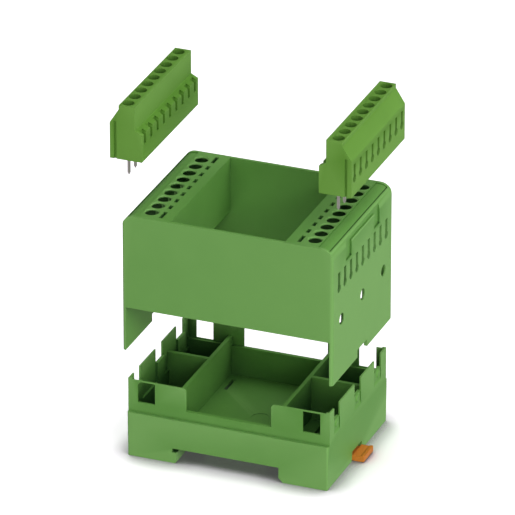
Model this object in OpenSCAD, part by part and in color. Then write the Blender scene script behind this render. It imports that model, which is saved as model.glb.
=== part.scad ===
// DIN rail enclosure: lower housing with a rail channel and a foot catch, upper housing,
// and two rows of board-mounted screw terminals, laid out lifted apart.
// X runs across the rail, Y along it and Z up from the surface that the feet stand on.
// The origin is under the middle of the lower housing.

/* [Housing] */
// Width of the lower housing across the rail
base_w = 66.9; // [66:0.1:68]
// Length of both housings along the rail
base_d = 51.5; // [50:0.1:56]
// Width of the upper housing across the rail
cover_w = 69.4; // [69.4:0.1:72]
// Height of the closed enclosure
closed_h = 46.4; // [46:0.1:52]
// Wall of the upper housing
cover_wall = 1.1; // [1:0.05:1.1]
// Wall of the lower housing
base_wall = 1.2; // [1:0.05:1.4]
// Wall of the lower housing above the ledge
rim_wall = 0.5; // [0.5:0.05:0.7]

/* [Lower housing] */
// Height of the ledge that the upper housing's end walls sit on
ledge_z = 14.9; // [14:0.1:16]
// How far the end walls stand back from the ledge's edge
ledge_run = 1.25; // [1.2:0.05:1.5]
// Draft of each side, from the ledge down to the foot
side_draft = 0.35; // [0:0.05:0.6]
// Height of the rail channel's ceiling
channel_z = 5; // [4.8:0.1:5.5]
// Half the width of the rail channel's mouth
channel_half = 17; // [16.8:0.1:17.2]
// Depth of the hook's undercut behind the rail's edge
hook_depth = 1.4; // [1.2:0.1:1.6]
// Height of the hook's undercut
hook_gap = 1.4; // [1.2:0.1:1.6]
// Height of the floor of the middle bay
floor_z = 7.9; // [7.6:0.1:8.4]
// Height of the walls between the bays
partition_z = 21; // [20:0.1:21.4]
// Height of the towers and corner posts, which the board sits on
seat_z = 25.8; // [25:0.1:26]
// Height of the side walls between their notches
merlon_z = 26.2; // [26:0.1:26.8]
// Height of the bottom of the side walls' notches
notch_z = 21.6; // [21.5:0.1:22.2]
// Height of the low middle stretch of the end walls
lip_z = 17.9; // [17:0.1:18.2]
// Distance of the left partition from the middle
partition_left = 18.65; // [18.4:0.05:18.8]
// Distance of the right partition from the middle
partition_right = 14.9; // [14.4:0.1:15.2]
// Distance of the walls across the side bays behind the middle
cross_y = 6.8; // [6:0.1:8]

/* [Upper housing] */
// Radius of the end walls' upper corners
cover_r = 4; // [3:0.1:4.5]
// Thickness of the top strips
strip_t = 1.3; // [1.2:0.1:1.4]
// Half the width of the open window between the strips
window_half = 18.85; // [18:0.05:19]
// Depth of the partitions that hang from the strips
hang_h = 18.3; // [16:0.1:18.5]
// Diameter of a screwdriver hole
driver_d = 4.5; // [4.2:0.1:4.6]
// Distance of each row of screwdriver holes from the middle
driver_x = 26.8; // [26:0.1:27.2]
// Diameter of a latch hole in the side wall
latch_d = 3.8; // [3.4:0.1:4]
// Height of the latch holes when closed
latch_z = 20; // [19:0.1:20.2]
// Distance of the outer latch holes from the middle one
latch_pitch = 18; // [17:0.1:18.2]

/* [Terminal rows] */
// Number of poles in each row
poles = 9; // [9:1:9]
// Distance from pole to pole
pitch = 5.08; // [5.08:0.01:5.08]
// Height of a terminal body
block_h = 18.1; // [17.8:0.1:18.5]
// Clear distance from the screw axis to the outer face
block_out = 5.2; // [5:0.1:5.3]
// Clear distance from the screw axis to the lower inner face
block_in = 5.4; // [5:0.1:5.6]
// Length that a solder pin shows below its body
pin_drop = 5.8; // [4.5:0.1:6]

/* [Lifted layout] */
// How far the upper housing is lifted
cover_lift = 36; // [30:0.5:40]
// Height of the top of the lifted terminal rows
row_top_z = 117.8; // [114:0.1:122]
// Distance of the lifted terminal rows' screws from the middle
row_x = 34.3; // [33:0.1:35]

/* [Foot catch] */
// Half the width of the foot catch
catch_half = 4; // [3.6:0.1:4.2]
// How far the tab stands out of the side wall
catch_out = 3.7; // [3:0.1:4.5]
// How far the nose reaches into the channel
catch_nose = 1.8; // [1.5:0.1:2]

/* [Hidden] */
pole_names = [for (side = ["left", "right"], piece = ["screw", "cage", "pin"], n = [1:9])
    str(side, "_", piece, "_", n)];
$fn = 48;
e = 0.1;
green = [0.42, 0.61, 0.32];
orange = [0.80, 0.45, 0.10];

hx = base_w / 2;
hy = base_d / 2;
wall_y = hy - ledge_run;
inner_y = wall_y - 1.3;
inner_x = hx - base_wall;
rim_x = hx - rim_wall;
rim_y = wall_y - rim_wall;
part_t = 1.2;
middle_left = -partition_left + part_t / 2;
middle_right = partition_right - part_t / 2;
skin = 1.5;

cx = cover_w / 2;
cover_in_x = cx - cover_wall;
cover_in_y = hy - cover_wall;
cover_gap = 0.3;
sit_gap = 0.1;

first_pole = -(poles - 1) / 2 * pitch;
row_half = poles * pitch / 2 + 0.1;

// Notches in each side wall, as their start and end along Y
notches = [[-20.7, -15.8], [-3.2, 2.4], [13.9, 19.9]];
latches = [-latch_pitch, 0, latch_pitch];

// A block given by its lowest and highest corners
module block(low, high) {
    translate(low) cube(high - low);
}

// Both sides of the middle plane
module both_x() {
    children();
    mirror([1, 0, 0]) children();
}

module both_y() {
    children();
    mirror([0, 1, 0]) children();
}

// A bar along Y whose section is drawn in X and Z
module along_y(half, middle = 0) {
    translate([0, middle + half, 0]) rotate([90, 0, 0]) linear_extrude(2 * half) children();
}

// A rod along Y
module rod_y(x, z, r, half) {
    translate([x, half, z]) rotate([90, 0, 0]) cylinder(h = 2 * half, r = r);
}

// What rounding a vertical edge at a corner takes away
module corner_waste(x, y, r, low, high) {
    difference() {
        block([x - r, y - r, low], [x + e, y + e, high]);
        translate([x - r, y - r, low - e]) cylinder(h = high - low + 2 * e, r = r);
    }
}

// Lower housing

// Section of the feet and the rail channel, with the fixed hook on the left
module foot_section() {
    polygon([[-hx + side_draft, 0], [-channel_half - 0.5, 0], [-channel_half, 0.5],
        [-channel_half, channel_z - hook_gap], [-channel_half - hook_depth, channel_z - hook_gap],
        [-channel_half - hook_depth, channel_z], [channel_half, channel_z],
        [channel_half, 1.5], [channel_half + 1.5, 0], [hx - side_draft, 0],
        [hx, ledge_z], [-hx, ledge_z]]);
}

// What is cut from the back end wall: the low middle stretch, the thinner wall above it and
// a window in each tower, which is open at the top if it has no bar
tower_x = 14.1;
window_in = 24.5;
window_out = 30.3;
window_z = 18.2;
bar_t = 0.4;
tower_r = 1.3;

module end_wall_cuts(window_top) {
    block([-tower_x, inner_y - e, lip_z], [tower_x, wall_y + e, merlon_z + e]);
    block([-inner_x, inner_y - e, seat_z], [inner_x, wall_y + e, merlon_z + e]);
    for (bay = [[-rim_x, middle_left - part_t], [middle_left, middle_right],
            [middle_right + part_t, rim_x]])
        block([bay[0], inner_y - e, lip_z], [bay[1], rim_y, partition_z + e]);
    block([-rim_x, inner_y - e, partition_z], [rim_x, rim_y, merlon_z + e]);
    both_x() {
        block([window_in, inner_y - e, window_z], [window_out, wall_y + e, window_top]);
        difference() {
            block([tower_x - e, inner_y - e, seat_z - tower_r],
                [tower_x + tower_r, wall_y + e, seat_z + e]);
            translate([tower_x + tower_r, wall_y + 2 * e, seat_z - tower_r])
                rotate([90, 0, 0]) cylinder(h = 3, r = tower_r);
        }
    }
}

// Side bays of one side, drawn on the right: in front of the cross wall and behind it,
// wider above the ledge except behind the notches, and the wells down into the foot,
// which stop short of the foot catch's tunnel
bay_floor = 6.5;
well_x = channel_half + hook_depth + 1.4;
well_out = inner_x - 0.2;
tunnel_top = 3.9;
tunnel_half = 8.2;

module side_bays(partition_at, tunnel) {
    bay_x = partition_at + part_t / 2;
    for (y = [[-inner_y, cross_y - part_t / 2], [cross_y + part_t / 2, inner_y]]) {
        block([bay_x, y[0], bay_floor], [inner_x, y[1], merlon_z]);
        difference() {
            block([inner_x - e, y[0], ledge_z], [rim_x, y[1], merlon_z + e]);
            for (n = notches) block([inner_x, n[0], ledge_z - e], [hx, n[1], notch_z]);
        }
    }
    block([inner_x - e, cross_y - part_t / 2 - e, partition_z],
        [rim_x, cross_y + part_t / 2 + e, merlon_z + e]);
    if (tunnel) {
        both_y() block([well_x, tunnel_half, skin], [well_out, inner_y, bay_floor + e]);
        block([well_x, -tunnel_half - e, tunnel_top + part_t],
            [well_out, cross_y - part_t / 2, bay_floor + e]);
    } else {
        block([well_x, -inner_y, skin], [well_out, cross_y - part_t / 2, bay_floor + e]);
        block([well_x, cross_y + part_t / 2, skin], [well_out, inner_y, bay_floor + e]);
    }
}

// Shallow hollows under the middle bay's floor, with ribs left that the rail bears on
core_half = 13.5;
rib_t = 1.2;
rib_pitch = 12;

module underside_core() {
    difference() {
        block([-core_half, -inner_y, channel_z - e], [core_half, inner_y, floor_z - skin]);
        for (i = [-1:1])
            block([-core_half - e, i * rib_pitch - rib_t / 2, channel_z - 2 * e],
                [core_half + e, i * rib_pitch + rib_t / 2, floor_z]);
    }
}

// Way for the foot catch through the right foot
guide_half = catch_half + 1.5;
guide_z = 1.9;
run_gap = 0.2;

module catch_tunnel() {
    block([channel_half - e, -catch_half - run_gap, -e], [hx + e, catch_half + run_gap, 3.2]);
    block([channel_half - e, -guide_half - run_gap, guide_z - run_gap],
        [hx - 1.5, guide_half + run_gap, tunnel_top]);
}

// Shallow field under each notch, which runs out in a ramp, and the latch nub in it
field_t = 0.3;
field_z = 17;
ramp_h = 1.2;
nub_out = 0.08;
nub_r = 1.4;

module side_fields() {
    for (n = notches) {
        block([inner_x - e, n[0], notch_z], [hx + e, n[1], merlon_z + e]);
        along_y((n[1] - n[0]) / 2, (n[0] + n[1]) / 2) polygon([[hx, field_z], [hx + 1, field_z],
            [hx + 1, notch_z + e], [hx - field_t, notch_z + e], [hx - field_t, field_z + ramp_h]]);
    }
}

module latch_nubs() {
    for (y = latches)
        intersection() {
            translate([hx - field_t - e, y, latch_z]) rotate([0, 90, 0])
                cylinder(h = field_t + e + nub_out, r1 = nub_r + 0.3, r2 = nub_r - 0.4);
            block([hx - field_t - e, y - 3, latch_z - 3], [hx + nub_out, y + 3, latch_z + 3]);
        }
}

// Slot through the middle bay's floor and the ejector mark in it
slot_at = [-15.9, 16.3];
slot_size = [1.2, 7.6];
mark_at = [1.5, -1.6];
mark_r = 3;

module lower_housing() {
    color(green) {
        difference() {
            union() {
                along_y(hy) foot_section();
                block([-hx, -wall_y, ledge_z - e], [hx, wall_y, merlon_z]);
            }
            end_wall_cuts(seat_z + e);
            mirror([0, 1, 0]) end_wall_cuts(seat_z - bar_t);
            block([middle_left, -inner_y, floor_z], [middle_right, inner_y, merlon_z]);
            block([-inner_x, -inner_y, partition_z], [inner_x, inner_y, merlon_z + e]);
            side_bays(partition_right, true);
            mirror([1, 0, 0]) side_bays(partition_left, false);
            underside_core();
            catch_tunnel();
            both_x() side_fields();
            block([slot_at[0] - slot_size[0] / 2, slot_at[1] - slot_size[1] / 2, channel_z - e],
                [slot_at[0] + slot_size[0] / 2, slot_at[1] + slot_size[1] / 2, floor_z + e]);
            translate([mark_at[0], mark_at[1], floor_z - 0.15]) cylinder(h = 1, r = mark_r);
            both_x() both_y() corner_waste(hx, hy, 0.8, -e, ledge_z + e);
        }
        both_x() latch_nubs();
    }
}

// Foot catch: a flat slide with a nose that hooks under the rail's edge, a thinner neck
// and a pull tab

catch_low = 0.15;
neck_top = 1.2;
tab_top = 1.9;
tab_corner = 0.35;
tab_lip = 0.3;
nose_top = 3.5;
flange_ends = [19, 29.2];

module foot_catch() {
    nose_x = channel_half - catch_nose;
    tab_x = hx + catch_out;
    color(orange) {
        intersection() {
            along_y(catch_half) polygon([[nose_x, nose_top], [nose_x, nose_top - 0.7],
                [nose_x + 2.6, catch_low], [tab_x - 0.4, catch_low], [tab_x, catch_low + 0.4],
                [tab_x, tab_top + tab_lip], [tab_x - 0.9, tab_top + tab_lip], [tab_x - 1.5, tab_top],
                [hx - 0.3, tab_top], [hx - 0.8, neck_top], [flange_ends[1] + 0.2, neck_top],
                [flange_ends[1] - 0.5, tab_top + 0.4], [flange_ends[0], tab_top + 0.9],
                [nose_x + 1.6, nose_top]]);
            linear_extrude(10) polygon([[nose_x, -catch_half], [tab_x - tab_corner, -catch_half],
                [tab_x, -catch_half + tab_corner], [tab_x, catch_half - tab_corner],
                [tab_x - tab_corner, catch_half], [nose_x, catch_half]]);
        }
        block([flange_ends[0], -guide_half, guide_z], [flange_ends[1], guide_half, guide_z + 1]);
    }
}

// Upper housing, drawn closed

// Outer form, rounded at the upper corners and the upright edges
module cover_body() {
    difference() {
        union() {
            block([-cx, -hy, cover_gap], [cx, hy, closed_h - cover_r]);
            block([-cx + cover_r, -hy, cover_gap], [cx - cover_r, hy, closed_h]);
            both_x() rod_y(cx - cover_r, closed_h - cover_r, cover_r, hy);
        }
        both_x() both_y() corner_waste(cx, hy, 1, cover_gap - e, closed_h + e);
    }
}

// Hollow inside the shell, open below
module cover_hollow() {
    top = closed_h - strip_t;
    r = cover_r - cover_wall;
    difference() {
        union() {
            block([-cover_in_x, -cover_in_y, -e], [cover_in_x, cover_in_y, top - r]);
            block([-cover_in_x + r, -cover_in_y, -e], [cover_in_x - r, cover_in_y, top]);
            both_x() rod_y(cover_in_x - r, top - r, r, cover_in_y);
        }
        both_x() block([window_half, -cover_in_y - e, closed_h - hang_h],
            [window_half + cover_wall, cover_in_y + e, closed_h]);
    }
}

// Sunk band along each upper corner, between the end walls, with the crease at its foot
band_t = 0.35;
band_x = driver_x + driver_d / 2 + 0.5;
crease_angle = 42;
crease_r = 0.25;

module cover_band() {
    ax = cx - cover_r;
    az = closed_h - cover_r;
    block([band_x, -cover_in_y, closed_h - band_t], [ax, cover_in_y, closed_h + e]);
    intersection() {
        difference() {
            rod_y(ax, az, cover_r + 1, cover_in_y);
            rod_y(ax, az, cover_r - band_t, cover_in_y + e);
        }
        along_y(cover_in_y) polygon([[ax, az], [ax, az + 9],
            [ax + 9 * sin(crease_angle), az + 9 * cos(crease_angle)]]);
    }
    rod_y(ax + (cover_r - band_t) * sin(crease_angle), az + (cover_r - band_t) * cos(crease_angle),
        crease_r, cover_in_y);
}

// Holes and slots of one strip, which is thinner in line with the holes
slot_x = 22.7;
slot_w = 1.2;
slot_l = 2.6;
end_slot_l = 4.6;
end_slot_out = 0.9;
countersink = 0.35;
hole_lip = 0.6;
relief_half = 2.6;

module strip_holes() {
    for (i = [0:poles - 1]) {
        y = first_pole + i * pitch;
        end = i == 0 ? -1 : i == poles - 1 ? 1 : 0;
        half = (end == 0 ? slot_l : end_slot_l) / 2;
        slot_y = y + end * end_slot_out;
        translate([driver_x, y, closed_h - 4]) cylinder(h = 5, d = driver_d - 0.4);
        translate([driver_x, y, closed_h - countersink])
            cylinder(h = countersink + 0.01, d1 = driver_d - 0.4, d2 = driver_d + 0.4);
        block([slot_x - slot_w / 2, slot_y - half, closed_h - 4],
            [slot_x + slot_w / 2, slot_y + half, closed_h + e]);
    }
    block([driver_x - relief_half, first_pole - relief_half, closed_h - 4],
        [driver_x + relief_half, relief_half - first_pole, closed_h - hole_lip]);
}

// Wire slits of one side wall, each with a round foot
slit_low = 29.9;
slit_high = 36.7;
slit_w = 1.9;
slit_foot_r = 1.35;

module wire_slits() {
    for (i = [0:poles - 1]) {
        y = first_pole + i * pitch;
        block([cover_in_x - e, y - slit_w / 2, slit_low + slit_foot_r],
            [cx + e, y + slit_w / 2, slit_high]);
        translate([cover_in_x - e, y, slit_low + slit_foot_r]) rotate([0, 90, 0])
            cylinder(h = cover_wall + 2 * e, r = slit_foot_r);
    }
}

// Sunk fields at the top of a side wall, joined by a groove
field_in = 9.8;
field_out = 14.3;
field_low = 37.9;
field_high = 44.6;
field_deep = 0.6;
join_h = 1.5;

module wall_fields() {
    both_y() block([cx - field_deep, field_in, field_low], [cx + e, field_out, field_high]);
    block([cx - field_deep, -field_in - e, field_high - join_h], [cx + e, field_in + e, field_high]);
}

// Latch holes of one side wall, each with a square pocket on the inside that makes the wall
// thinner, and the notch that the foot catch passes
recess_half = latch_d / 2 + 0.3;
recess_t = 0.7;
foot_notch = [8.4, 2.5];

module latch_holes() {
    for (y = latches) {
        translate([cover_in_x - e, y, latch_z]) rotate([0, 90, 0])
            cylinder(h = cover_wall + 2 * e, d = latch_d);
        block([cover_in_x - e, y - recess_half, latch_z - recess_half],
            [cover_in_x + recess_t, y + recess_half, latch_z + recess_half]);
    }
    block([cover_in_x - e, -foot_notch[0] / 2, cover_gap - e],
        [cx + e, foot_notch[0] / 2, cover_gap + foot_notch[1]]);
}

module upper_housing() {
    color(green) translate([0, 0, cover_lift]) difference() {
        cover_body();
        cover_hollow();
        block([-window_half, -cover_in_y, closed_h - 5], [window_half, cover_in_y, closed_h + e]);
        block([-cover_in_x, -hy - e, -e], [cover_in_x, hy + e, ledge_z + sit_gap]);
        both_x() {
            cover_band();
            strip_holes();
            wire_slits();
            wall_fields();
            latch_holes();
        }
    }
}

// Terminal rows, drawn for the right side round the first screw's axis, from the body's underside up

// Puts a right-hand piece in its lifted place, or its mirror image on the left
module lifted_row(side) {
    z = row_top_z - block_h;
    if (side == "left") mirror([1, 0, 0]) translate([row_x, 0, z]) children();
    else translate([row_x, 0, z]) children();
}

chamfer_z = 12;
chamfer_top = 16.7;
top_out = 2.2;
top_in = 3.1;
bevel_z = 10.3;
bevel_h = 1.2;
cavity_out = 2.8;
cavity_in = 3.2;
cavity_half = 2;
cavity_top = 12.2;
shoulder_z = 13.4;
head_bore_r = 1.85;
shank_bore_r = 1.4;
mouth_low = 4.3;
mouth_high = 10.4;
mouth_w = 1.5;
mouth_r = 1.3;
pocket_half = 0.8;
pocket_t = 1.4;
pocket_r = 1.1;
pocket_low = 5.5;
rib_slot = [3, 3.8];

module pole_cavity() {
    translate([0, 0, shoulder_z]) cylinder(h = block_h, r = head_bore_r);
    translate([0, 0, cavity_top - e]) cylinder(h = 3, r = shank_bore_r);
    block([-cavity_in, -cavity_half, -e], [cavity_out, cavity_half, 8.4]);
    block([-2.4, -cavity_half, 8.3], [2.4, cavity_half, cavity_top]);
    block([cavity_out - e, -mouth_w / 2, mouth_low + mouth_r], [block_out + e, mouth_w / 2, mouth_high]);
    translate([cavity_out - e, 0, mouth_low + mouth_r]) rotate([0, 90, 0])
        cylinder(h = block_out - cavity_out + 2 * e, r = mouth_r);
    block([-block_in - e, -pocket_half, pocket_low], [-block_in + pocket_t, pocket_half, bevel_z]);
    translate([-block_in - e, 0, bevel_z - pocket_r]) rotate([0, 90, 0])
        cylinder(h = pocket_t + e, r = pocket_r);
}

module terminal_body(side) {
    color(green) lifted_row(side) difference() {
        along_y(row_half) polygon([[block_out, 0], [block_out, chamfer_z], [top_out, chamfer_top],
            [top_out, block_h], [-top_in, block_h], [-top_in, bevel_z],
            [-block_in, bevel_z - bevel_h], [-block_in, 0]]);
        for (i = [0:poles - 1]) translate([0, first_pole + i * pitch, 0]) pole_cavity();
        both_y() block([rib_slot[0], row_half - 0.4, -e], [rib_slot[1], row_half + e, chamfer_z + 0.6]);
    }
}

// A slotted clamp screw, held under the body's shoulder
screw_r = 1.25;
head_r = 1.7;
head_top = 15.4;
tip_z = 7.2;

module clamp_screw(side, n) {
    color([0.75, 0.75, 0.77]) lifted_row(side) translate([0, first_pole + (n - 1) * pitch, 0])
        difference() {
            union() {
                translate([0, 0, tip_z]) cylinder(h = shoulder_z - tip_z + 1, r = screw_r);
                translate([0, 0, shoulder_z + 0.05]) cylinder(h = head_top - shoulder_z - 0.05, r = head_r);
            }
            block([-2, -0.3, head_top - 0.8], [2, 0.3, head_top + 1]);
        }
}

// A clamp cage: a short square tube that the screw lifts
cage_half_x = 1.9;
cage_half_y = 1.85;
cage_low = 2;
cage_high = 9.4;
cage_wall = 0.5;
thread_r = 1.3;

module clamp_cage(side, n) {
    color([0.80, 0.78, 0.66]) lifted_row(side) translate([0, first_pole + (n - 1) * pitch, 0])
        difference() {
            block([-cage_half_x, -cage_half_y, cage_low], [cage_half_x, cage_half_y, cage_high]);
            block([-cage_half_x - e, -cage_half_y + cage_wall, cage_low + 0.8],
                [cage_half_x + e, cage_half_y - cage_wall, cage_high - 1.2]);
            translate([0, 0, cage_high - 2]) cylinder(h = 3, r = thread_r);
        }
}

// A bent contact strip that ends in the solder pin
bar_low = 6.2;
bar_high = 7;
strip_half = 1.2;
leg_in = 3.2;
leg_out = 2.4;
foot_low = 0.6;
foot_high = 1.4;
pin_half = 0.4;

module solder_pin(side, n) {
    color([0.72, 0.72, 0.70]) lifted_row(side) translate([0, first_pole + (n - 1) * pitch, 0]) {
        block([-leg_in, -strip_half, bar_low], [2.4, strip_half, bar_high]);
        block([-leg_in, -strip_half, foot_low], [-leg_out, strip_half, bar_low + e]);
        block([-leg_in, -cavity_half, 3.4], [-leg_out, cavity_half, 5.4]);
        block([-leg_in, -pin_half, foot_low], [pin_half, pin_half, foot_high]);
        block([-pin_half, -pin_half + 0.1, -pin_drop + 0.5], [pin_half, pin_half - 0.1, foot_high - e]);
        block([-pin_half + 0.2, -pin_half + 0.25, -pin_drop], [pin_half - 0.2, pin_half - 0.25, 0]);
    }
}

lower_housing();
foot_catch();
upper_housing();
terminal_body("left");  // left_terminal_body
terminal_body("right");  // right_terminal_body
for (side = ["left", "right"], n = [1:poles]) {
    clamp_screw(side, n);
    clamp_cage(side, n);
    solder_pin(side, n);
}
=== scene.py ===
import bpy
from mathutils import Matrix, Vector

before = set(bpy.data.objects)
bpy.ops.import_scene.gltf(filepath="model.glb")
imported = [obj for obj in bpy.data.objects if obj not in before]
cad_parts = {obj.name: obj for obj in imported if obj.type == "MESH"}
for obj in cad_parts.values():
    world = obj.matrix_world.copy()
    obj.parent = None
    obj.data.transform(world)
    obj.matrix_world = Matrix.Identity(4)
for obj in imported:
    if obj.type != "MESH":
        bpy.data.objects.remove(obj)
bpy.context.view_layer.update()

scene = bpy.context.scene
scene.view_settings.view_transform = "Standard"

# Camera. A long lens more than two metres away, slightly to the right of the part and above it,
# as in a catalogue picture.
eye = Vector((0.7634, -1.9345, 1.0733))
aim = Vector((0.0007, -0.00195, 0.06342))
long_lens = bpy.data.cameras.new("long_lens")
long_lens.sensor_width = 36
long_lens.lens = 523.8
long_lens.clip_start = 0.1
long_lens.clip_end = 20
camera = bpy.data.objects.new("long_lens", long_lens)
camera.location = eye
camera.rotation_euler = (aim - eye).to_track_quat("-Z", "Y").to_euler()
scene.collection.objects.link(camera)
scene.camera = camera


# Light tent. White cloth all round, which looks white from inside and gives the part only a little
# even light. The softboxes stand outside it.
def linear(code):
    """An sRGB hex colour as linear red, green, blue and alpha."""
    shares = [int(code[i:i + 2], 16) / 255 for i in (0, 2, 4)]
    return [s / 12.92 if s <= 0.04045 else ((s + 0.055) / 1.055) ** 2.4 for s in shares] + [1]


def node(tree, kind, settings=(), inputs=(), **links):
    """Adds a shader node with its own settings, and feeds its sockets with values or other nodes' outputs.

    inputs go to the first sockets in their order. A link's name is its socket's, with _ for a space."""
    made = tree.nodes.new("ShaderNode" + kind)
    for name, value in dict(settings).items():
        setattr(made, name, value)
    fed = list(zip(made.inputs, inputs))
    for name, value in links.items():
        fed.append((next(s for s in made.inputs if s.name == name.replace("_", " ") and s.enabled), value))
    for socket, value in fed:
        if isinstance(value, bpy.types.NodeSocket):
            tree.links.new(value, socket)
        else:
            socket.default_value = value
    return made


tent = bpy.data.worlds.new("white_tent_cloth")
tent.use_nodes = True
tent.node_tree.nodes.clear()
tent_path = node(tent.node_tree, "LightPath")
tent_seen = node(tent.node_tree, "Math", {"operation": "MAXIMUM"},
                 [tent_path.outputs["Is Camera Ray"], tent_path.outputs["Is Transmission Ray"]])
tent_level = node(tent.node_tree, "MapRange", Value=tent_seen.outputs[0], To_Min=0.05, To_Max=1.0)
tent_cloth = node(tent.node_tree, "Background", Color=linear("FFFFFF"), Strength=tent_level.outputs[0])
node(tent.node_tree, "OutputWorld", Surface=tent_cloth.outputs[0])
scene.world = tent


# Softboxes. Square boxes 1.5 m wide, most of their light from the right. They light the part alone,
# and a wider box overhead lights the card alone, so that the card shows no shadow but the near one.
part_only = bpy.data.collections.new("part_only")
card_only = bpy.data.collections.new("card_only")


def softbox(name, place, power, width=1.5, lights=part_only):
    """A square softbox at place, turned to the middle of the part."""
    middle = Vector((0, 0, 0.055))
    panel = bpy.data.lights.new(name, "AREA")
    panel.size = width
    panel.energy = power
    made = bpy.data.objects.new(name, panel)
    made.location = place
    made.rotation_euler = (middle - Vector(place)).to_track_quat("-Z", "Y").to_euler()
    made.light_linking.receiver_collection = lights
    scene.collection.objects.link(made)


softbox("key_softbox", (1.05, -1.26, 1.20), 26)
softbox("right_softbox", (1.91, -0.51, 0.42), 13.5)
softbox("back_softbox", (1.08, 0.91, 1.47), 10)
softbox("top_softbox", (0, -0.17, 2.05), 3.4)
softbox("left_softbox", (-1.50, -0.87, 1.06), 4.4)
softbox("front_softbox", (0.11, -1.28, 1.59), 3)
softbox("rear_left_softbox", (-1.05, 0.74, 1.59), 7)
softbox("card_softbox", (0, 0, 2.5), 65, width=3.5, lights=card_only)


# Card that the part stands on. Matt white card, large enough to run out of sight, lying just under
# the feet.
def empty_material(name):
    """A material with no nodes yet, and its node tree."""
    made = bpy.data.materials.new(name)
    made.use_nodes = True
    made.node_tree.nodes.clear()
    return made, made.node_tree


# Pressed card: white, without gloss, with a faint fibre that changes its light by a hundredth.
matt_white_card, tree = empty_material("matt_white_card")
path = node(tree, "LightPath")
fibre = node(tree, "TexNoise", Scale=900, Detail=2)
white = node(tree, "MapRange", Value=fibre.outputs["Fac"], To_Min=0.93, To_Max=0.95)
# To the eye the card is pure white. Near the feet it has a painted shadow, over the real one from its
# softbox.
near = node(tree, "AmbientOcclusion", {"samples": 6}, Distance=0.008)
foot = node(tree, "MapRange", Value=near.outputs["AO"], From_Min=0.45, From_Max=1.0,
            To_Min=0.25, To_Max=1.95)
# The green that the part throws on the card is taken back a little, as a white balance does.
balanced = node(tree, "Mix", {"data_type": "RGBA", "blend_type": "MULTIPLY"}, Factor=1.0,
                A=foot.outputs[0], B=(1.0, 0.95, 1.02, 1.0))
tone = node(tree, "Mix", {"data_type": "RGBA"}, Factor=path.outputs["Is Camera Ray"],
            A=white.outputs[0], B=balanced.outputs["Result"])
card_face = node(tree, "BsdfDiffuse", Color=tone.outputs["Result"])
# Painted light: to the eye alone the card glows faintly, so that the rail channel isn't black.
painted_glow_level = node(tree, "MapRange", Value=path.outputs["Is Camera Ray"], To_Min=0.0, To_Max=0.06)
painted_card_glow = node(tree, "Emission", Strength=painted_glow_level.outputs[0])
card_lit = node(tree, "AddShader", inputs=[card_face.outputs[0], painted_card_glow.outputs[0]])
# Painted reflection: in the gloss of the part the card is an even glow, also close to the feet.
painted_card_reflection = node(tree, "Emission", Strength=0.5)
card_skin = node(tree, "MixShader",
                 inputs=[path.outputs["Is Glossy Ray"], card_lit.outputs[0], painted_card_reflection.outputs[0]])
node(tree, "OutputMaterial", Surface=card_skin.outputs[0])

card_half = 6
card_drop = 0.00005
card_corners = [(-card_half, -card_half, 0), (card_half, -card_half, 0),
                (card_half, card_half, 0), (-card_half, card_half, 0)]
card_mesh = bpy.data.meshes.new("sweep")
card_mesh.from_pydata(card_corners, [], [(0, 1, 2, 3)])
card_mesh.materials.append(matt_white_card)
card = bpy.data.objects.new("sweep", card_mesh)
card.location.z = -card_drop
scene.collection.objects.link(card)
for group, state in ((card_only, "INCLUDE"), (part_only, "EXCLUDE")):
    group.objects.link(card)
    group.collection_objects[0].light_linking.link_state = state


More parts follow.
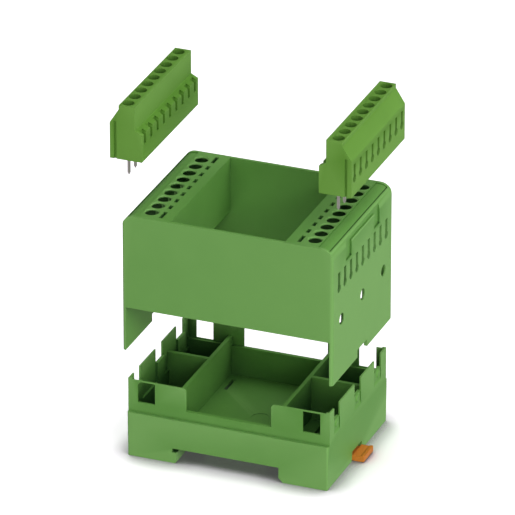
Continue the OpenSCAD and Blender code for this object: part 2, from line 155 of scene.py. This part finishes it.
# Lower housing. Glass-filled polyamide in signal green, injection moulded in one piece and snapped
# on the rail. The mould's faces are spark-eroded. The radius that it leaves on edges isn't drawn.
def moulded(name, colour, painted_highlight, painted_shade_colour, roughness, gloss):
    """Spark-eroded polyamide. An even matt colour, slightly cloudy, with painted highlight and painted
    shade.

    colour holds the two ends of its clouds, the next colour is the painted highlight on outer faces, and
    the last the painted shade, which the colour is multiplied by where little light gets in."""
    made, tree = empty_material(name)
    where = node(tree, "TexCoord")
    # The real pits are about 0.03 mm. They are drawn 0.15 mm wide, so that they show.
    pits = node(tree, "TexNoise", Vector=where.outputs["Object"], Scale=6500, Detail=3, Roughness=0.6)
    # The melt's flow leaves cloudy patches about 12 mm across.
    flow = node(tree, "TexNoise", Vector=where.outputs["Object"], Scale=80, Detail=2)
    cloud = node(tree, "MapRange", Value=flow.outputs["Fac"], From_Min=0.3, From_Max=0.7)
    body = node(tree, "Mix", {"data_type": "RGBA"}, Factor=cloud.outputs[0],
                A=linear(colour[0]), B=linear(colour[1]))
    # Painted highlight. Pointiness is known only at a face's corners, so this pales whole outer faces, not
    # just edges.
    form = node(tree, "NewGeometry")
    outer = node(tree, "MapRange", Value=form.outputs["Pointiness"],
                 From_Min=0.52, From_Max=0.60, To_Max=0.55)
    face = node(tree, "Mix", {"data_type": "RGBA"}, Factor=outer.outputs[0],
                A=body.outputs["Result"], B=linear(painted_highlight))
    # Painted shade: in bays and bores narrower than about 28 mm the colour is darkened, as little light
    # comes in.
    hemmed = node(tree, "AmbientOcclusion", {"samples": 5, "only_local": True}, Distance=0.028)
    open_share = node(tree, "MapRange", {"interpolation_type": "SMOOTHSTEP"}, Value=hemmed.outputs["AO"],
                      From_Min=0.29, From_Max=0.53)
    shade = node(tree, "Mix", {"data_type": "RGBA"}, Factor=open_share.outputs[0],
                 A=linear(painted_shade_colour), B=linear("FFFFFF"))
    deep = node(tree, "Mix", {"data_type": "RGBA", "blend_type": "MULTIPLY"}, Factor=1.0,
                A=face.outputs["Result"], B=shade.outputs["Result"])
    sheen = node(tree, "MapRange", Value=pits.outputs["Fac"],
                 To_Min=roughness - 0.05, To_Max=roughness + 0.06)
    bump = node(tree, "Bump", Height=pits.outputs["Fac"], Strength=0.25, Distance=0.00002)
    skin = node(tree, "BsdfPrincipled", Base_Color=deep.outputs["Result"], Roughness=sheen.outputs[0],
                Normal=bump.outputs[0], IOR=1.53, Specular_IOR_Level=gloss)
    node(tree, "OutputMaterial", Surface=skin.outputs[0])
    return made


def dress(name, material):
    """Gives a piece of the frame its material."""
    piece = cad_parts[name]
    piece.data.materials.clear()
    piece.data.materials.append(material)


# Signal green, matt, with a slight grey bloom where the light comes in at a low angle.
# The paler green is painted highlight on outer faces, the grey teal painted shade in hollows.
green_polyamide = moulded("green_polyamide", ("649B45", "5F9741"), "86B868", "53766F", 0.55, 0.35)
dress("lower_housing", green_polyamide)


# Foot catch. A flat slide of unfilled orange polyamide, moulded in one piece and pushed into the
# right foot from outside, where its nose springs under the rail's edge.
# Orange, and a little smoother than the housings, so that its tab shows a soft highlight.
# The pale orange is painted highlight on outer faces, the grey brown painted shade in hollows.
orange_polyamide = moulded("orange_polyamide", ("C86910", "BE620C"), "DC8C3C", "6E5A50", 0.5, 0.25)
dress("foot_catch", orange_polyamide)


# Upper housing. The same green glass-filled polyamide as the lower housing, moulded in one piece.
# Its side walls spring over the lower housing's nubs, and its end walls come down on the ledge.
dress("upper_housing", green_polyamide)


# Terminal bodies. Unfilled green polyamide, moulded as one block of nine poles, and held on the
# circuit board by the solder pins.
# A yellower green than the housings, with a dull face that shows hardly any highlight.
# The paler green is painted highlight on outer faces, the pale grey a faint painted shade in hollows.
green_terminal_polyamide = moulded("green_terminal_polyamide", ("609234", "5B8C31"), "7CAC52", "BEC8C0",
                                   0.6, 0.13)
sides = ("left", "right")
for side in sides:
    dress(side + "_terminal_body", green_terminal_polyamide)


# Clamp screws. Slotted screws of steel, turned and rolled, then zinc plated. They sit captive in the
# bodies' bores, one to a pole.
def plated(name, colour, roughness, patch):
    """A plated metal. The eye sees bright metal that is slightly cloudy from the bath.

    colour holds the two ends of its clouds, and patch their scale: 1500 is about 0.7 mm across."""
    made, tree = empty_material(name)
    where = node(tree, "TexCoord")
    cloud = node(tree, "TexNoise", Vector=where.outputs["Object"], Scale=patch, Detail=3)
    tint = node(tree, "Mix", {"data_type": "RGBA"}, Factor=cloud.outputs["Fac"],
                A=linear(colour[0]), B=linear(colour[1]))
    dull = node(tree, "MapRange", Value=cloud.outputs["Fac"],
                To_Min=roughness - 0.06, To_Max=roughness + 0.08)
    skin = node(tree, "BsdfPrincipled", Base_Color=tint.outputs["Result"], Roughness=dull.outputs[0],
                Metallic=1.0)
    node(tree, "OutputMaterial", Surface=skin.outputs[0])
    return made


def dress_poles(piece, metal):
    """Dresses one piece of each of the eighteen poles."""
    for side in sides:
        for pole in range(1, 10):
            dress(f"{side}_{piece}_{pole}", metal)


# Cool grey and fairly bright.
zinc_plated_steel = plated("zinc_plated_steel", ("BFC3C8", "A9ADB2"), 0.3, 1500)
dress_poles("screw", zinc_plated_steel)


# Clamp cages. Brass strip, stamped and folded to a square tube, then nickel plated. The screw's
# thread lifts the cage, which presses the wire against the contact strip.
# A warm grey, a little duller than the screws.
nickel_plated_brass = plated("nickel_plated_brass", ("CFC9B4", "BDB69F"), 0.35, 1200)
dress_poles("cage", nickel_plated_brass)


# Contact strips with their solder pins. Copper strip, stamped and bent, then hot tinned. They are
# pressed into the bodies from below.
# Light warm grey with a dull, even sheen.
tinned_copper = plated("tinned_copper", ("D4D0C8", "B6B2AA"), 0.4, 1500)
dress_poles("pin", tinned_copper)
